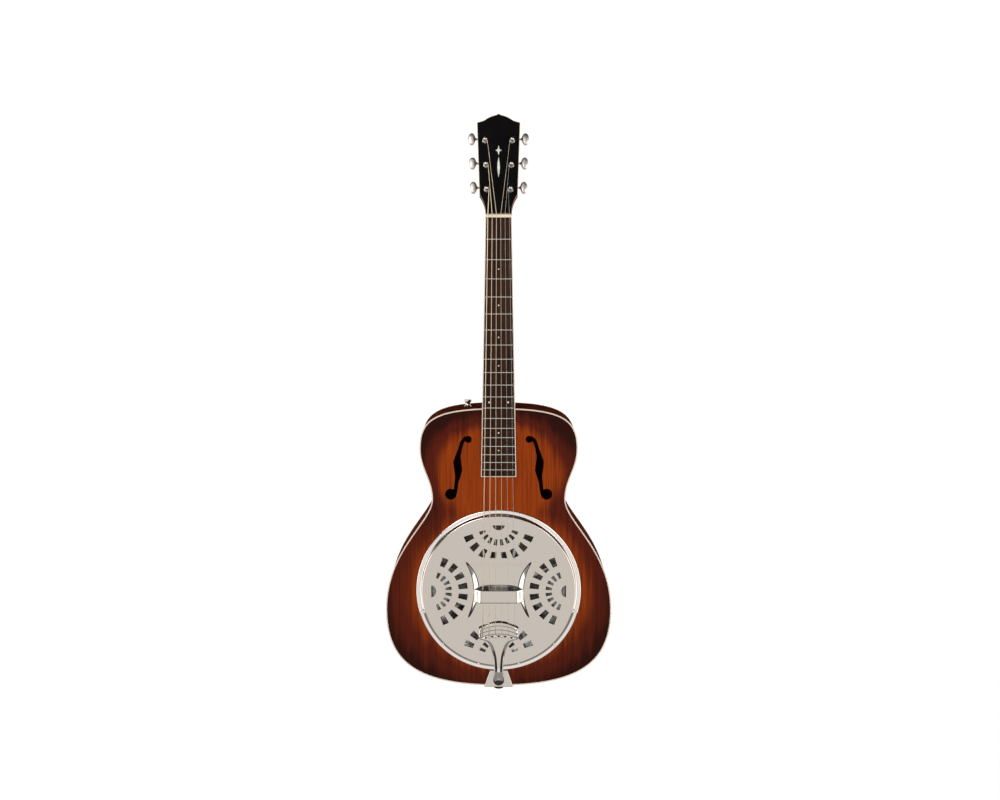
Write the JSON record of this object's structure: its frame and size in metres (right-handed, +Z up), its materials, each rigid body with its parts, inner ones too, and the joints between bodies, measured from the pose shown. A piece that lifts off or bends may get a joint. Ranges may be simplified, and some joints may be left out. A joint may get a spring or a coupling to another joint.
{
  "type": "resonator guitar",
  "caption": "Wooden resonator guitar with a spun cone under a pressed coverplate, a bound neck, a tilted headstock and open-geared tuners.",
  "frame": {"origin": "on the centre line at the nut's front face, in the plane of the body's top face, where a hanger's yoke holds the neck", "axes": "+Z up the neck towards the headstock, -Y out of the front, +X to the right seen from the front"},
  "size_m": [0.3948, 0.1174, 1.0047],
  "materials": {
    "mahogany_sunburst": "gloss sunburst lacquer",
    "mahogany_dark": "gloss lacquer",
    "cream_binding": "polished",
    "bare_wood": "sanded",
    "spun_aluminium": "spun",
    "polished_chrome": "polished",
    "nickel": "satin",
    "black_lacquer": "gloss black lacquer",
    "rosewood": "oiled",
    "bone": "polished",
    "steel": "machined",
    "plain_steel": "drawn wire",
    "wound_bronze": "wound wire",
    "black_metal": "black"
  },
  "bodies": {
    "guitar": {"body_top": "mahogany_sunburst", "body_back": "mahogany_dark", "body_sides": "mahogany_dark", "top_binding": "cream_binding", "back_binding": "cream_binding", "neck_block": "bare_wood", "tail_block": "bare_wood", "soundwell": "bare_wood", "resonator_cone": "spun_aluminium", "spider_bridge": "spun_aluminium", "saddle": "bone", "tension_screw": "steel", "coverplate": "polished_chrome", "hand_rest": "polished_chrome", "tailpiece": "polished_chrome", "tailpiece_bracket": "polished_chrome", "end_button": "black_metal", "strap_button": "polished_chrome", "neck": "mahogany_dark", "headstock_veneer": "black_lacquer", "fretboard": "rosewood", "fretboard_binding": "cream_binding", "nut": "bone", "truss_rod": "steel", "string_1": "wound_bronze", "string_2": "wound_bronze", "string_3": "wound_bronze", "string_4": "wound_bronze", "string_5": "plain_steel", "string_6": "plain_steel", "tuner_plate_1": "nickel", "tuner_plate_2": "nickel", "tuner_plate_3": "nickel", "tuner_plate_4": "nickel", "tuner_plate_5": "nickel", "tuner_plate_6": "nickel"},
    "tuner_1_worm": {"worm_shaft_1": "nickel", "tuner_button_1": "nickel"},
    "tuner_1_post": {"tuner_gear_1": "nickel", "string_post_1": "nickel"},
    "tuner_2_worm": {"worm_shaft_2": "nickel", "tuner_button_2": "nickel"},
    "tuner_2_post": {"tuner_gear_2": "nickel", "string_post_2": "nickel"},
    "tuner_3_worm": {"worm_shaft_3": "nickel", "tuner_button_3": "nickel"},
    "tuner_3_post": {"tuner_gear_3": "nickel", "string_post_3": "nickel"},
    "tuner_4_worm": {"worm_shaft_4": "nickel", "tuner_button_4": "nickel"},
    "tuner_4_post": {"tuner_gear_4": "nickel", "string_post_4": "nickel"},
    "tuner_5_worm": {"worm_shaft_5": "nickel", "tuner_button_5": "nickel"},
    "tuner_5_post": {"tuner_gear_5": "nickel", "string_post_5": "nickel"},
    "tuner_6_worm": {"worm_shaft_6": "nickel", "tuner_button_6": "nickel"},
    "tuner_6_post": {"tuner_gear_6": "nickel", "string_post_6": "nickel"}
  },
  "joints": [
    {"name": "button_turn_1", "type": "hinge", "parent": "guitar", "child": "tuner_1_worm", "pos_m": [-0.01991, 0.03174, 0.05065], "axis": [1, 0, 0], "continuous": true},
    {"name": "post_turn_1", "type": "hinge", "parent": "guitar", "child": "tuner_1_post", "pos_m": [-0.01991, 0.01016, 0.04675], "axis": [0, 0.9703, -0.2419], "continuous": true},
    {"name": "button_turn_2", "type": "hinge", "parent": "guitar", "child": "tuner_2_worm", "pos_m": [-0.02141, 0.04207, 0.09208], "axis": [1, 0, 0], "continuous": true},
    {"name": "post_turn_2", "type": "hinge", "parent": "guitar", "child": "tuner_2_post", "pos_m": [-0.02141, 0.02049, 0.08818], "axis": [0, 0.9703, -0.2419], "continuous": true},
    {"name": "button_turn_3", "type": "hinge", "parent": "guitar", "child": "tuner_3_worm", "pos_m": [-0.0229, 0.05243, 0.13361], "axis": [1, 0, 0], "continuous": true},
    {"name": "post_turn_3", "type": "hinge", "parent": "guitar", "child": "tuner_3_post", "pos_m": [-0.0229, 0.03085, 0.12971], "axis": [0, 0.9703, -0.2419], "continuous": true},
    {"name": "button_turn_4", "type": "hinge", "parent": "guitar", "child": "tuner_4_worm", "pos_m": [0.0229, 0.05243, 0.13361], "axis": [1, 0, 0], "continuous": true},
    {"name": "post_turn_4", "type": "hinge", "parent": "guitar", "child": "tuner_4_post", "pos_m": [0.0229, 0.03085, 0.12971], "axis": [0, 0.9703, -0.2419], "continuous": true},
    {"name": "button_turn_5", "type": "hinge", "parent": "guitar", "child": "tuner_5_worm", "pos_m": [0.02141, 0.04207, 0.09208], "axis": [1, 0, 0], "continuous": true},
    {"name": "post_turn_5", "type": "hinge", "parent": "guitar", "child": "tuner_5_post", "pos_m": [0.02141, 0.02049, 0.08818], "axis": [0, 0.9703, -0.2419], "continuous": true},
    {"name": "button_turn_6", "type": "hinge", "parent": "guitar", "child": "tuner_6_worm", "pos_m": [0.01991, 0.03174, 0.05065], "axis": [1, 0, 0], "continuous": true},
    {"name": "post_turn_6", "type": "hinge", "parent": "guitar", "child": "tuner_6_post", "pos_m": [0.01991, 0.01016, 0.04675], "axis": [0, 0.9703, -0.2419], "continuous": true}
  ],
  "couplings": [
    {"joint": "post_turn_1", "follows": "button_turn_1", "ratio": -0.0625},
    {"joint": "post_turn_2", "follows": "button_turn_2", "ratio": -0.0625},
    {"joint": "post_turn_3", "follows": "button_turn_3", "ratio": -0.0625},
    {"joint": "post_turn_4", "follows": "button_turn_4", "ratio": -0.0625},
    {"joint": "post_turn_5", "follows": "button_turn_5", "ratio": -0.0625},
    {"joint": "post_turn_6", "follows": "button_turn_6", "ratio": -0.0625}
  ]
}
